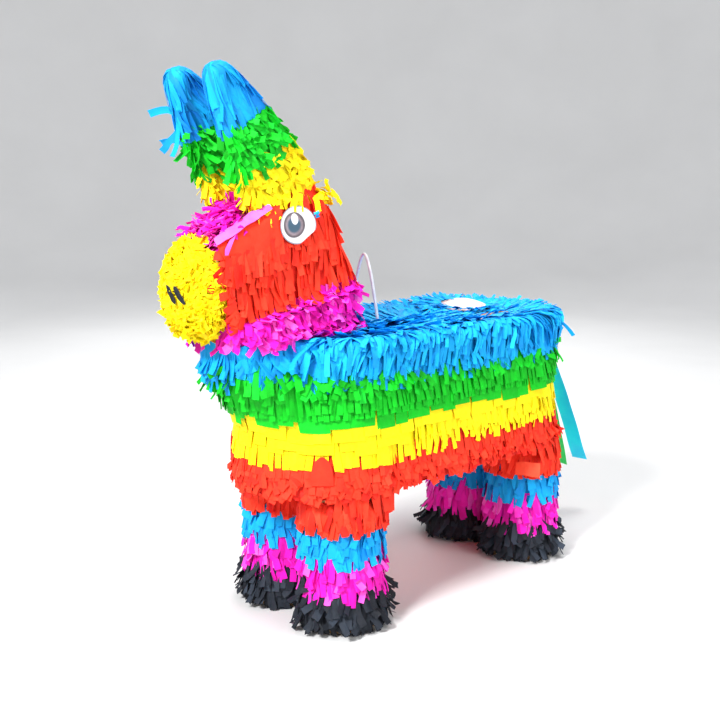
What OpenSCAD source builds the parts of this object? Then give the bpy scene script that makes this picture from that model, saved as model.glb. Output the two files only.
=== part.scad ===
// Donkey pinata: a card shell dressed in rows of fringed tissue paper.
// The donkey faces -Y, its left side is +X, and it stands on z = 0.

/* [Body] */
// Radius of the round chest and rump, and half the width of the barrel
body_r = 78; // [74:1:84]
// Height of the belly above the floor
belly_z = 130; // [120:1:140]
// Height of the back above the floor
back_z = 266; // [260:1:272]
// Distance from the leg centre to the middle of the round chest
chest_y = 119; // [112:1:124]
// Distance from the leg centre to the middle of the round rump
rump_y = 104; // [98:1:110]
// Thickness of the card
card_t = 2.5; // [2:0.5:3]
// Depth of the tissue fringe over the card
fringe_t = 6; // [4:0.5:7]

/* [Legs] */
// Outer radius of a leg tube
leg_r = 34; // [31:1:34]
// Half the distance between the left and right legs
leg_x = 41.5; // [41.5:0.5:44]
// Distance of the front legs ahead of the middle
front_leg_y = 132; // [126:1:136]
// Distance of the rear legs behind the middle
rear_leg_y = 134; // [126:1:136]
// Wall of a leg tube
tube_t = 2; // [1.5:0.5:3]

/* [Head] */
// Half the width of the head over its card panels
head_x = 32; // [30:1:34]
// Length of an ear from the crown to its tip
ear_len = 134; // [115:1:140]
// Widest half-width of an ear
ear_w = 30; // [24:1:32]

/* [Hanging loop] */
// Thickness of the loop
loop_d = 4; // [3:0.5:5]
// Half the distance between the loop's arms
loop_x = 21; // [18:1:24]
// Height of the loop above its pivot
loop_h = 77; // [60:1:80]

/* [Filling flap] */
// Side of the square filling flap
flap_side = 76; // [72:1:80]
// Radius of the filling hole under it
fill_r = 32; // [28:1:33]
// Radius of the round paper label on the flap
label_r = 33; // [28:1:34]

/* [Tail] */
// Width of a tail streamer
streamer_w = 20; // [14:1:22]
// Length of the longest streamer
streamer_len = 218; // [190:1:220]

/* [Hidden] */
$fn = 64;
sole_t = 3;                // card disc that closes a leg tube
head_fringe_t = 5;         // the tissue lies flatter on the head and ears than on the body
gap = 0.5;                 // paper clearance where pieces only lie side by side
wrap_gap = 0.2;            // clearance between the barrel and what is wrapped round it

// Heights at which the tissue changes colour on the legs and on the barrel
hoof_top = 28;
hoof_flare = 1.2;          // the hooves stand out a little further than the legs
pink_top = 61;
blue_top = 92;
belly_fringe_z = belly_z - fringe_t;
red_top = 157;
yellow_top = 192;
green_top = 228;
back_fringe_z = back_z + fringe_t;

// The neck is lofted through three sections, each with its
// [height, middle y, half width, half length, corner radius, tilt]
neck_low = [190, -122, 76, 76, 75, 0];
neck_mid = [258, -172, 40, 66, 36, 0];
neck_top = [297, -173, 34.5, 65, 18, 10.7];

// Height of the neck's sloping top edge at y
function neck_edge(y) = neck_top[0] + 0.3 + (y - neck_top[1]) * tan(neck_top[5]);

// Side outline of the head, from the chin round the bridge, crown and nape to the tongue inside the neck
chin = [-246, 286];
bridge_low = [-256, 343];
bridge_top = [-208, 372];
crown_front = [-186, 384];
crown_rear = [-142, 384];
nape = [-113, 318];
nape_low = [-113, neck_edge(-113)];
tongue_rear = [-126, 268];
tongue_front = [-218, 268];
shoulder_rear = [tongue_rear[0], neck_edge(tongue_rear[0])];
shoulder_front = [tongue_front[0], neck_edge(tongue_front[0])];
head_outline = [
    chin, bridge_low, bridge_top, crown_front, crown_rear, nape, nape_low,
    shoulder_rear, tongue_rear, tongue_front, shoulder_front,
];

// Muzzle dome, in front of the line from the chin to the bridge
muzzle_mid = (chin + bridge_low) / 2;
muzzle_turn = atan2(bridge_low[0] - chin[0], bridge_low[1] - chin[1]);
muzzle_size = [29, 27, 33];

// An ear leaf: its root on the crown and the way it points
ear_root = [-176, 381];
ear_tip_turn = 34.9;
ear_in_x = head_x - card_t;
ear_yellow_end = 42;
ear_green_end = 82;
ear_tab_end = 24;
ear_tab_w = 28;

// Hanging loop pivot, under the back panel
loop_y = -64;
loop_z = back_z - card_t - 4.5;
saddle_bore_r = loop_d / 2 + 0.08;
saddle_size = [2 * loop_x - 16, 12, back_z - card_t - loop_z + 4];
slot_len = 22;
slot_w = loop_d + 2;
slot_fringe_len = 34;

// Filling flap: it hinges on its left edge and rests a little open on the tissue below it
flap_y = 72;
flap_t = 1.6;
flap_rest = 6;
flap_corner = 18;
flap_gap = 3;
flap_hinge = [flap_side / 2, flap_y, back_z + 0.9];
label_t = 0.4;
tape_w = 9;
tape_t = 0.5;

// Tail streamers: they fan out below the staple
tail_pin = [0, rump_y + body_r + fringe_t + 3, 256];
streamer_t = 0.5;
blue_lean = 30;
green_lean = 23.5;
red_lean = 18;
streamer_start = 10;

// Eyes and nostrils
eye_mid = [-179, 367];
eye_size = [18.5, 15];
eye_t = 0.8;
nostril_x = 5;
nostril_up = 3;
nostril_size = [3.6, 1.2, 13];

LEGS = [
    ["front_left", leg_x, -front_leg_y],
    ["front_right", -leg_x, -front_leg_y],
    ["rear_left", leg_x, rear_leg_y],
    ["rear_right", -leg_x, rear_leg_y],
];

card_colour = "#b08d5f";
red = "#f2452d";
pink = "#f032b8";
blue = "#0b9fe8";
green = "#10c030";
yellow = "#ffe60a";
black = "#1b1d22";

// The origin is under the middle of the whole length, from the muzzle's tissue to the longest streamer
muzzle_reach = norm([
    (muzzle_size[1] + fringe_t) * cos(muzzle_turn),
    (muzzle_size[2] + fringe_t) * sin(muzzle_turn),
]);
tail_reach = tail_pin[1] + streamer_len * sin(blue_lean);
frame_y = (muzzle_reach - muzzle_mid[0] - tail_reach) / 2;

// ---- Plan shapes of the barrel and sections of the neck ----

// Plan of the barrel, grown by g: a stadium with round chest and rump
module barrel_plan(g = 0) {
    r = body_r + g;
    translate([0, -chest_y]) circle(r);
    translate([0, rump_y]) circle(r);
    translate([-r, -chest_y]) square([2 * r, chest_y + rump_y]);
}

module barrel(z0, z1, g = 0) {
    translate([0, 0, z0]) linear_extrude(z1 - z0) barrel_plan(g);
}

// A thin slab of the neck's section s, grown by g
module neck_slab(s, g) {
    w = s[2] + g;
    l = s[3] + g;
    r = min(s[4] + g, w, l);
    translate([0, s[1], s[0]]) rotate([s[5], 0, 0]) linear_extrude(0.1, $fn = 32) hull()
        for (x = [-1, 1], y = [-1, 1]) translate([x * (w - r), y * (l - r)]) circle(r);
}

module neck_body(g) {
    hull() { neck_slab(neck_low, g); neck_slab(neck_mid, g); }
    hull() { neck_slab(neck_mid, g); neck_slab(neck_top, g); }
}

module slab(z0, z1) {
    translate([-200, -400, z0]) cube([400, 800, z1 - z0]);
}

// ---- Side outlines: a 2D point is [y, z] and is drawn across x ----

// Draws a side outline as a plate from x0 to x1
module side_plate(x0, x1) {
    translate([x0, 0, 0]) rotate([90, 0, 90]) linear_extrude(x1 - x0) children();
}

function unit(v) = v / norm(v);
// Corner i of a closed outline, moved inwards by t (outwards where t is negative)
function inset_corner(p, i, t) =
    let (n = len(p), a = unit(p[i] - p[(i + n - 1) % n]), b = unit(p[(i + 1) % n] - p[i]))
    let (na = [a[1], -a[0]], nb = [b[1], -b[0]])
    p[i] + t * (na + nb) / (1 + na * nb);
function inset(p, t) = [for (i = [0:len(p) - 1]) inset_corner(p, i, t)];

// The strip of card from corner i to corner j of the head outline
module head_strip(i, j, x) {
    inner = inset(head_outline, card_t);
    side_plate(-x, x) polygon(concat(
        [for (k = [i:j]) head_outline[k]],
        [for (k = [j:-1:i]) inner[k]]
    ));
}

// ---- Card shell ----

module belly_panel() {
    color(card_colour) barrel(belly_z, belly_z + card_t);
}

module wall(side) {
    color(card_colour) intersection() {
        difference() {
            barrel(belly_z + card_t, back_z - card_t);
            barrel(belly_z, back_z, -card_t);
        }
        translate([side > 0 ? 0 : -200, -300, 0]) cube([200, 600, 400]);
    }
}

module loop_slots(len, z0, z1) {
    for (x = [-loop_x, loop_x]) translate([x, loop_y, z0]) linear_extrude(z1 - z0) {
        for (y = [-1, 1]) translate([0, y * (len - slot_w) / 2]) circle(slot_w / 2, $fn = 24);
        square([slot_w, len - slot_w], center = true);
    }
}

module back_panel() {
    color(card_colour) difference() {
        barrel(back_z - card_t, back_z);
        translate([0, flap_y, back_z - 10]) cylinder(h = 20, r = fill_r);
        loop_slots(slot_len, back_z - 10, back_z + 1);
    }
}

module neck_wrap() {
    color(card_colour) difference() {
        neck_body(0);
        neck_body(-card_t);
        barrel(0, back_z, wrap_gap);
        translate([0, neck_top[1], neck_top[0]]) rotate([neck_top[5], 0, 0])
            translate([-60, -90, -0.2]) cube([120, 180, 40]);
    }
}

module head_panel(side) {
    x0 = side > 0 ? head_x - card_t : -head_x;
    color(card_colour) side_plate(x0, x0 + card_t) polygon(head_outline);
}

module bridge_strip() { color(card_colour) head_strip(1, 3, head_x - card_t); }
module crown_strip() { color(card_colour) head_strip(3, 4, head_x - 2 * card_t); }
module nape_strip() { color(card_colour) head_strip(4, 8, head_x - card_t); }

module jaw_strip() {
    inner = inset(head_outline, card_t);
    color(card_colour) side_plate(card_t - head_x, head_x - card_t)
        polygon([tongue_front, shoulder_front, chin, inner[0], inner[10], inner[9]]);
}

module nose_panel() { color(card_colour) head_strip(0, 1, head_x - card_t); }

// Puts the muzzle's own frame, with y forwards, onto the front of the head
module at_muzzle() {
    translate([0, muzzle_mid[0], muzzle_mid[1]]) rotate([-muzzle_turn, 0, 0]) children();
}

module muzzle_dome(g) {
    intersection() {
        scale(muzzle_size + [g, g, g]) sphere(1, $fn = 40);
        translate([-60, -60, -60]) cube([120, 60, 120]);
    }
}

// Two black bars that touch the front of the muzzle's tissue
module nostril_labels() {
    half = muzzle_size + [fringe_t, fringe_t, fringe_t];
    front = half[1] * sqrt(1 - pow(nostril_x / half[0], 2) - pow(nostril_up / half[2], 2));
    slope = atan2(nostril_up / pow(half[2], 2), front / pow(half[1], 2));
    color(black) at_muzzle() for (side = [-1, 1])
        translate([side * nostril_x, -front, nostril_up]) rotate([-slope, 0, side * 8])
            translate([-nostril_size[0] / 2, -nostril_size[1] - 0.1, -nostril_size[2] / 2]) cube(nostril_size);
}

module muzzle_cap() {
    color(card_colour) at_muzzle() difference() {
        muzzle_dome(0);
        muzzle_dome(-card_t);
    }
}

// Half-width of an ear leaf at a share s of its length: full near the root, round at the tip
function ear_half(s, g) = (ear_w + g) * (1 - 0.72 * pow(s, 1.6)) * sqrt(1 - pow(s, 9));
function ear_leaf(g) =
    let (n = 14, len = ear_len + g)
    concat([for (i = [0:n]) [ear_half(i / n, g), len * i / n]],
           [for (i = [n - 1:-1:0]) [-ear_half(i / n, g), len * i / n]]);

// Draws an ear's flat shape from x0 to x1 with its own y along the ear
module at_ear(x0, x1) {
    side_plate(x0, x1) translate(ear_root) rotate(ear_tip_turn) children();
}

// The leaf and, below it, a narrower tab that goes down through the crown
module ear_card(side) {
    x0 = side > 0 ? ear_in_x - card_t : -ear_in_x;
    along = ear_tab_end * [-sin(ear_tip_turn), cos(ear_tip_turn)];
    across = ear_tab_w * [cos(ear_tip_turn), sin(ear_tip_turn)];
    color(card_colour) {
        at_ear(x0, x0 + card_t) intersection() {
            polygon(ear_leaf(0));
            translate([-60, ear_tab_end]) square([120, 200]);
        }
        side_plate(x0, x0 + card_t) polygon([
            crown_rear - [6, 0], crown_rear - [6, 12], crown_front + [6, -12], crown_front + [6, 0],
            ear_root + along - across, ear_root + along + across,
        ]);
    }
}

module at_leg(leg) { translate([leg[1], leg[2], 0]) children(); }

module leg_tube(leg) {
    color(card_colour) at_leg(leg) difference() {
        translate([0, 0, sole_t]) cylinder(h = belly_z - sole_t, r = leg_r);
        translate([0, 0, -1]) cylinder(h = belly_z + 2, r = leg_r - tube_t);
    }
}

module foot_disc(leg) { color(card_colour) at_leg(leg) cylinder(h = sole_t, r = leg_r); }

// ---- Hanging loop and its saddle ----

module loop_saddle() {
    color(card_colour) translate([0, loop_y, loop_z]) difference() {
        translate([-saddle_size[0] / 2, -saddle_size[1] / 2, -4]) cube(saddle_size);
        rotate([0, 90, 0]) cylinder(h = 60, r = saddle_bore_r, center = true);
    }
}

module hanging_loop() {
    r = loop_d / 2;
    arm = loop_h - loop_x;
    color("white") translate([0, loop_y, loop_z]) {
        rotate([0, 90, 0]) cylinder(h = 2 * loop_x, r = r, center = true);
        for (x = [-loop_x, loop_x]) translate([x, 0, 0]) {
            sphere(r);
            cylinder(h = arm, r = r);
        }
        translate([0, 0, arm]) rotate([90, 0, 0])
            rotate_extrude(angle = 180) translate([loop_x, 0]) circle(r);
    }
}

// ---- Filling flap ----

module at_flap() {
    translate(flap_hinge) rotate([0, flap_rest, 0]) translate([-flap_hinge[0], -flap_hinge[1], 0]) children();
}

// Plan of the flap, grown by g: a square with round corners on its free side
module flap_plan(g = 0) {
    h = flap_side / 2 + g;
    translate([0, flap_y]) {
        translate([-h + flap_corner, -h]) square([2 * h - flap_corner, 2 * h]);
        translate([-h, -h + flap_corner]) square([2 * h, 2 * h - 2 * flap_corner]);
        for (y = [-1, 1]) translate([-h + flap_corner, y * (h - flap_corner)]) circle(flap_corner);
    }
}

module fill_flap() {
    color(card_colour) at_flap() linear_extrude(flap_t) flap_plan();
}

module flap_label() {
    color("mistyrose") at_flap() translate([0, flap_y, flap_t]) cylinder(h = label_t, r = label_r);
}

module flap_hinge_tape() {
    color("#c9a877") translate([flap_hinge[0] + gap, flap_y - flap_side / 2 + 4, back_z])
        cube([tape_w, flap_side - 8, tape_t]);
}

// ---- Eyes, nostrils and tail ----

// Outline of the eye: an oval whose lower rear edge is cut straight by the lid
module eye_outline() {
    difference() {
        polygon([for (a = [0:10:350]) [eye_size[0] * cos(a), eye_size[1] * sin(a)]]);
        rotate(28) translate([-6, -3 * eye_size[1]]) square([60, 2.05 * eye_size[1]]);
    }
}

module eye_label(side) {
    x0 = side > 0 ? head_x + head_fringe_t : -head_x - head_fringe_t - eye_t;
    color("white") side_plate(x0, x0 + eye_t) translate(eye_mid) rotate(8) eye_outline();
}

// A flat streamer that leans back by an angle from hanging straight down
module streamer(lean, x, width, length, t) {
    translate(tail_pin) rotate([lean, 0, 0])
        translate([x - width / 2, -t / 2, -length]) cube([width, t, length - streamer_start]);
}

module tail_blue_streamer() { color("#08b4dc") streamer(blue_lean, 8, streamer_w, streamer_len, streamer_t); }
module tail_green_streamer() {
    color("#08b040") streamer(green_lean, -1, streamer_w, 0.96 * streamer_len, streamer_t);
}
module tail_red_streamer() {
    color("#f01848") streamer(red_lean, 6, 0.7 * streamer_w, 0.82 * streamer_len, 2 * streamer_t);
}

module tail_staple() {
    color("silver") translate([-6, rump_y + body_r + fringe_t, tail_pin[2] + 5]) {
        cube([12, 0.8, 0.8]);
        for (x = [0, 11.2]) translate([x, -fringe_t, 0]) cube([0.8, fringe_t, 0.8]);
    }
}

// ---- Tissue fringe, drawn as plain closed layers over the card ----

// The layer of the barrel and neck between two heights
module body_band(z0, z1) {
    difference() {
        union() {
            barrel(z0, z1, fringe_t);
            intersection() { neck_body(fringe_t); slab(z0, z1); }
        }
        barrel(0, back_z, wrap_gap);
        neck_body(0);
    }
}

module body_green_fringe() { color(green) body_band(yellow_top, green_top); }

module body_yellow_fringe() { color(yellow) body_band(red_top, yellow_top); }

// The lowest layer also covers the tops of the legs where they stand out under the rump
module body_red_fringe() {
    color(red) difference() {
        union() {
            barrel(belly_fringe_z, red_top, fringe_t);
            for (leg = LEGS) at_leg(leg) translate([0, 0, belly_fringe_z]) cylinder(h = 18, r = leg_r + fringe_t);
        }
        barrel(belly_z, back_z, 0);
        for (leg = LEGS) at_leg(leg) cylinder(h = belly_z, r = leg_r);
    }
}

module back_blue_fringe() {
    color(blue) difference() {
        barrel(green_top, back_fringe_z, fringe_t);
        barrel(0, back_z, wrap_gap);
        neck_body(fringe_t);
        collar_column(head_fringe_t, 24);
        translate([0, 0, back_z - 1]) linear_extrude(20) flap_plan(flap_gap);
        translate([flap_hinge[0] - 5, flap_y - flap_side / 2 - 1, back_z - 1])
            cube([tape_w + 8, flap_side + 2, 20]);
        loop_slots(slot_fringe_len, back_z - 1, back_z + 20);
        translate([-7, rump_y + body_r, tail_pin[2] + 4]) cube([14, 20, 3]);
    }
}

module neck_blue_fringe() {
    color(blue) difference() {
        intersection() { neck_body(fringe_t); slab(green_top, back_z); }
        neck_body(0);
        barrel(0, back_z, wrap_gap);
    }
}

// A rectangle with half sides w and l and corners of radius r
module rounded(w, l, r) {
    square([2 * w, 2 * (l - r)], center = true);
    square([2 * (w - r), 2 * l], center = true);
    for (x = [-1, 1], y = [-1, 1]) translate([x * (w - r), y * (l - r)]) circle(r);
}

// A straight column round the neck, above the back
module collar_column(g, r) {
    translate([0, neck_top[1] + 0.4, back_z]) linear_extrude(60)
        rounded(neck_mid[2] - 0.8 + g, neck_mid[3] + 0.6 + g, r);
}

// The collar is cut off along the neck's sloping edge
module collar_pink_fringe() {
    color(pink) difference() {
        collar_column(head_fringe_t, 24);
        collar_column(0, 18);
        above_collar();
    }
}

// The head grown by g to each side and round its outline
module head_block(g) {
    side_plate(-head_x - g, head_x + g) polygon(inset(head_outline, -g));
}

// What is above the collar's upper edge
module above_collar() {
    translate([0, neck_top[1], neck_top[0] + 0.2]) rotate([neck_top[5], 0, 0])
        translate([-80, -110, 0]) cube([160, 220, 120]);
}

module head_red_fringe() {
    color(red) difference() {
        intersection() { head_block(head_fringe_t); above_collar(); }
        head_block(0);
        above_bridge();
    }
}

// What is ahead of the nose and above the bridge and crown
module above_bridge() {
    side_plate(-60, 60) polygon([
        chin + 0.6 * (chin - bridge_low), chin, bridge_low, bridge_top, crown_front, crown_rear,
        crown_rear + [40, 0], crown_rear + [40, 60], [bridge_low[0] - 60, 460], [bridge_low[0] - 60, 240],
    ]);
}

// The bridge's layer runs from the muzzle to the front edge of the ears
module bridge_pink_fringe() {
    rise = unit(bridge_low - chin);
    run = unit(bridge_top - bridge_low);
    corner = bridge_low + rise * head_fringe_t / (run[0] * rise[1] - run[1] * rise[0]);
    color(pink) difference() {
        side_plate(-head_x - head_fringe_t, head_x + head_fringe_t)
            polygon([bridge_low, bridge_top, inset(head_outline, -head_fringe_t)[2], corner]);
        at_ear(-60, 60) translate([-ear_w - head_fringe_t, -100]) square([200, 300]);
    }
}

module muzzle_yellow_fringe() {
    color(yellow) at_muzzle() difference() {
        muzzle_dome(fringe_t);
        muzzle_dome(0);
    }
}

// The layer round a leg between two heights
module leg_band(leg, z0, z1, t) {
    at_leg(leg) difference() {
        translate([0, 0, z0]) cylinder(h = z1 - z0, r = leg_r + t);
        translate([0, 0, -1]) cylinder(h = belly_z, r = leg_r);
    }
}

module leg_red_fringes() {
    color(red) for (leg = LEGS) leg_band(leg, blue_top, belly_fringe_z, fringe_t);
}

module hoof_black_fringes() {
    color(black) for (leg = LEGS) leg_band(leg, sole_t, hoof_top, fringe_t + hoof_flare);
}

// The layer round both faces of an ear between two places along it
module ear_band(a0, a1, t) {
    for (side = [-1, 1]) {
        mid = side * (ear_in_x - card_t / 2);
        difference() {
            at_ear(mid - card_t / 2 - t, mid + card_t / 2 + t) intersection() {
                polygon(ear_leaf(t));
                translate([-80, a0]) square([160, a1 - a0]);
            }
            at_ear(mid - card_t / 2, mid + card_t / 2) polygon(ear_leaf(0));
        }
    }
}

// One yellow layer wraps the foot of both ears and covers the crown between them
module crown_yellow_fringe() {
    color(yellow) difference() {
        union() {
            ear_band(0, ear_yellow_end, head_fringe_t);
            side_plate(-head_x - head_fringe_t, head_x + head_fringe_t)
                polygon([crown_front, crown_front + [-3, 8], crown_rear + [0, 8], crown_rear + [6, 0]]);
        }
        ear_card(1);
        ear_card(-1);
        head_block(0);
        side_plate(-60, 60) polygon([chin, bridge_low, bridge_top, crown_front, crown_rear + [40, 0], nape]);
    }
}

module ear_green_fringes() { color(green) ear_band(ear_yellow_end, ear_green_end, head_fringe_t); }
module ear_blue_fringes() { color(blue) ear_band(ear_green_end, ear_len + head_fringe_t, head_fringe_t); }

// ---- Drawing ----

module one(name) {
    translate([0, frame_y, 0]) children();
}

one("belly_panel") belly_panel();
one("left_wall") wall(1);
one("right_wall") wall(-1);
one("back_panel") back_panel();
one("neck_wrap") neck_wrap();
one("left_head_panel") head_panel(1);
one("right_head_panel") head_panel(-1);
one("bridge_strip") bridge_strip();
one("crown_strip") crown_strip();
one("nape_strip") nape_strip();
one("jaw_strip") jaw_strip();
one("nose_panel") nose_panel();
one("muzzle_cap") muzzle_cap();
one("left_ear_card") ear_card(1);
one("right_ear_card") ear_card(-1);
for (leg = LEGS) {
    one(str(leg[0], "_leg_tube")) leg_tube(leg);
    one(str(leg[0], "_foot_disc")) foot_disc(leg);
    one(str(leg[0], "_blue_fringe")) color(blue) leg_band(leg, pink_top, blue_top, fringe_t);
    one(str(leg[0], "_pink_fringe")) color(pink) leg_band(leg, hoof_top, pink_top, fringe_t);
}
one("loop_saddle") loop_saddle();
one("hanging_loop") hanging_loop();
one("fill_flap") fill_flap();
one("flap_label") flap_label();
one("flap_hinge_tape") flap_hinge_tape();
one("left_eye_label") eye_label(1);
one("right_eye_label") eye_label(-1);
one("nostril_labels") nostril_labels();
one("tail_blue_streamer") tail_blue_streamer();
one("tail_green_streamer") tail_green_streamer();
one("tail_red_streamer") tail_red_streamer();
one("tail_staple") tail_staple();
one("muzzle_yellow_fringe") muzzle_yellow_fringe();
one("bridge_pink_fringe") bridge_pink_fringe();
one("head_red_fringe") head_red_fringe();
one("collar_pink_fringe") collar_pink_fringe();
one("neck_blue_fringe") neck_blue_fringe();
one("back_blue_fringe") back_blue_fringe();
one("body_green_fringe") body_green_fringe();
one("body_yellow_fringe") body_yellow_fringe();
one("body_red_fringe") body_red_fringe();
one("hoof_black_fringes") hoof_black_fringes();
one("leg_red_fringes") leg_red_fringes();
one("crown_yellow_fringe") crown_yellow_fringe();
one("ear_green_fringes") ear_green_fringes();
one("ear_blue_fringes") ear_blue_fringes();
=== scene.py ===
"""Looks of a donkey pinata: rows of cut tissue strips laid over a card shell.

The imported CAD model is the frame. Every fringe is a mesh of closed sheets of paper. Each strip is laid
by a short chain of steps: it starts under the CAD's tissue surface, hangs down, and is pushed out to
its clearance wherever it would sink in, so that every row lies on the row below it.
"""
import math
import random

import bmesh
import bpy
import numpy as np
from mathutils import Matrix, Vector, noise
from mathutils.bvhtree import BVHTree


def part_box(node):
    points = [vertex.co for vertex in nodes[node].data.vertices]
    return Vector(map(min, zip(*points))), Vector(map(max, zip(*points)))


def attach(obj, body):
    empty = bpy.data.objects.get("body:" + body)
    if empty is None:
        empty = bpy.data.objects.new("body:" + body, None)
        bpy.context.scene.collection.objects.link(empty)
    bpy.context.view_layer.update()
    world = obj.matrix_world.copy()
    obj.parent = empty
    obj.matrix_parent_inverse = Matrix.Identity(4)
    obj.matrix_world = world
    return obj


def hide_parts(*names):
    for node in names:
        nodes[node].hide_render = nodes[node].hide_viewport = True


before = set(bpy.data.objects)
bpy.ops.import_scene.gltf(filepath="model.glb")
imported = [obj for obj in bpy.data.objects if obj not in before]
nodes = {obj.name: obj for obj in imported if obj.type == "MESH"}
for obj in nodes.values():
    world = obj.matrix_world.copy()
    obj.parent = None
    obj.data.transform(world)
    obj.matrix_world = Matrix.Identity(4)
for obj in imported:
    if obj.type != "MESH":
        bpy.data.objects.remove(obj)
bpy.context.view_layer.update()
rng = random.Random(7)

MM = 0.001
UP = Vector((0, 0, 1))
DOWN = -UP
PAPER = 0.25 * MM          # thickness of a drawn sheet of tissue
FLOOR_CLEAR = 0.6 * MM     # strips that reach the floor stop this far above it
REACH = 94 * MM            # no strip reaches further to a side than this
LEGS = ["front_left", "front_right", "rear_left", "rear_right"]


def new_object(name, data):
    """An object in the scene that shows this data."""
    made = bpy.data.objects.new(name, data)
    bpy.context.scene.collection.objects.link(made)
    return made


def mesh_from(bm, name):
    """Turns a bmesh into a mesh and frees the bmesh."""
    mesh = bpy.data.meshes.new(name)
    bm.to_mesh(mesh)
    bm.free()
    return mesh


def circle(i, count):
    """Cosine and sine of the i-th of count even steps round a circle."""
    angle = 2 * math.pi * i / count
    return math.cos(angle), math.sin(angle)


def in_metres(guide, side=1):
    """Rows of guide points that are given in millimetres; side -1 mirrors them."""
    return [[Vector((side * x, y, z)) * MM for x, y, z in line] for line in guide]


# ---------------------------------------------------------------- colours and materials

def srgb(r, g, b):
    """An 8-bit screen colour as linear light."""
    def line(c):
        c /= 255
        return c / 12.92 if c <= 0.04045 else ((c + 0.055) / 1.055) ** 2.4
    return (line(r), line(g), line(b), 1.0)


def grey(v):
    return (v, v, v, 1.0)


# Each tissue's usual, deep and faded shades
TISSUE = {
    "red": (srgb(250, 56, 28), srgb(222, 10, 6), srgb(255, 96, 64)),
    "pink": (srgb(248, 16, 192), srgb(198, 0, 142), srgb(255, 120, 232)),
    "blue": (srgb(0, 166, 236), srgb(0, 116, 210), srgb(20, 198, 248)),
    "green": (srgb(0, 196, 28), srgb(0, 148, 14), srgb(20, 222, 60)),
    "yellow": (srgb(255, 236, 0), srgb(255, 205, 0), srgb(255, 246, 40)),
    "black": (srgb(30, 36, 46), srgb(14, 16, 22), srgb(58, 68, 82)),
}


class Material:
    """A short way to write a material's node tree."""

    def __init__(self, name):
        self.material = bpy.data.materials.new(name)
        self.material.use_nodes = True
        self.tree = self.material.node_tree
        self.shader = self.tree.nodes["Principled BSDF"]
        self.place = self.add("ShaderNodeTexCoord").outputs["Object"]

    def add(self, kind, settings=(), **inputs):
        node = self.tree.nodes.new(kind)
        for key, value in dict(settings).items():
            setattr(node, key, value)
        for key, value in inputs.items():
            self.put(value, node.inputs[key.replace("_", " ")])
        return node

    def put(self, value, socket):
        """Links a socket to another, or sets it."""
        if isinstance(value, bpy.types.NodeSocket):
            self.tree.links.new(value, socket)
        else:
            socket.default_value = value

    def noise(self, scale, detail=3.0, roughness=0.55, place=None):
        return self.add("ShaderNodeTexNoise", Vector=place or self.place, Scale=scale, Detail=detail,
                        Roughness=roughness).outputs["Fac"]

    def wave(self, direction, scale, distortion, **inputs):
        return self.add("ShaderNodeTexWave", {"wave_type": "BANDS", "bands_direction": direction},
                        Vector=self.place, Scale=scale, Distortion=distortion, **inputs).outputs["Fac"]

    def ramp(self, factor, stops):
        node = self.add("ShaderNodeValToRGB", Fac=factor)
        elements = node.color_ramp.elements
        while len(elements) < len(stops):
            elements.new(0.5)
        for element, (place, colour) in zip(elements, stops):
            element.position = place
            element.color = colour
        return node.outputs["Color"]

    def mix(self, factor, a, b, blend="MIX"):
        node = self.add("ShaderNodeMix", {"data_type": "RGBA", "blend_type": blend})
        for value, socket in ((factor, node.inputs[0]), (a, node.inputs[6]), (b, node.inputs[7])):
            self.put(value, socket)
        return node.outputs[2]

    def math(self, operation, a, b=0.0):
        node = self.add("ShaderNodeMath", {"operation": operation})
        self.put(a, node.inputs[0])
        self.put(b, node.inputs[1])
        return node.outputs[0]

    def bump(self, height, strength, distance):
        node = self.add("ShaderNodeBump", Height=height, Strength=strength, Distance=distance)
        self.put(node.outputs["Normal"], self.shader.inputs["Normal"])

    def set(self, **values):
        for key, value in values.items():
            self.put(value, self.shader.inputs[key.replace("_", " ")])


def tissue_material(name, shades):
    """Each strip has its own shade, with soft mottling, fibres and fine creases. The uncut tissue under the
    strips gets a deep tone, which is painted shade.
    """
    usual, deep, faded = shades
    m = Material("tissue_" + name)
    tone = m.add("ShaderNodeAttribute", {"attribute_name": "tone"}).outputs["Fac"]
    shade = m.math("ADD", m.math("MULTIPLY", tone, 0.72), m.math("MULTIPLY", m.noise(55.0, 4.0), 0.34))
    crease = m.noise(240.0, 5.0, 0.62)
    fibre = m.noise(1500.0, 2.0, 0.7)
    m.bump(m.math("ADD", m.math("MULTIPLY", crease, 0.8), m.math("MULTIPLY", fibre, 0.2)), 0.4, 0.6 * MM)
    m.set(Base_Color=m.ramp(shade, [(0.12, deep), (0.46, usual), (0.66, usual), (0.98, faded)]),
          Roughness=m.ramp(crease, [(0.3, grey(0.6)), (0.7, grey(0.85))]),
          Specular_IOR_Level=0.3)
    return m.material


tissue = {name: tissue_material(name, shades) for name, shades in TISSUE.items()}


# ---------------------------------------------------------------- forms that the tissue lies on

def joined(names, keep=None):
    """The CAD nodes' meshes in one bmesh, or only the solids whose points keep() accepts."""
    bm = bmesh.new()
    for name in names:
        bm.from_mesh(nodes[name].data)
    if keep:
        bmesh.ops.delete(bm, geom=[v for v in bm.verts if not keep(v.co)], context="VERTS")
    return bm


def remeshed(names, voxel, rounds, keep=None):
    """The CAD nodes' outer form as (points, faces): one even, smoothed mesh."""
    form = new_object("form", mesh_from(joined(names, keep), "form"))
    remesh = form.modifiers.new("remesh", "REMESH")
    remesh.mode = "VOXEL"
    remesh.voxel_size = voxel
    smooth = form.modifiers.new("smooth", "SMOOTH")
    smooth.factor = 0.5
    smooth.iterations = rounds
    shaped = form.evaluated_get(bpy.context.evaluated_depsgraph_get()).to_mesh()
    points = np.zeros(len(shaped.vertices) * 3)
    shaped.vertices.foreach_get("co", points)
    faces = [tuple(p.vertices) for p in shaped.polygons]
    bpy.data.objects.remove(form)
    return points.reshape(-1, 3), faces


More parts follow.
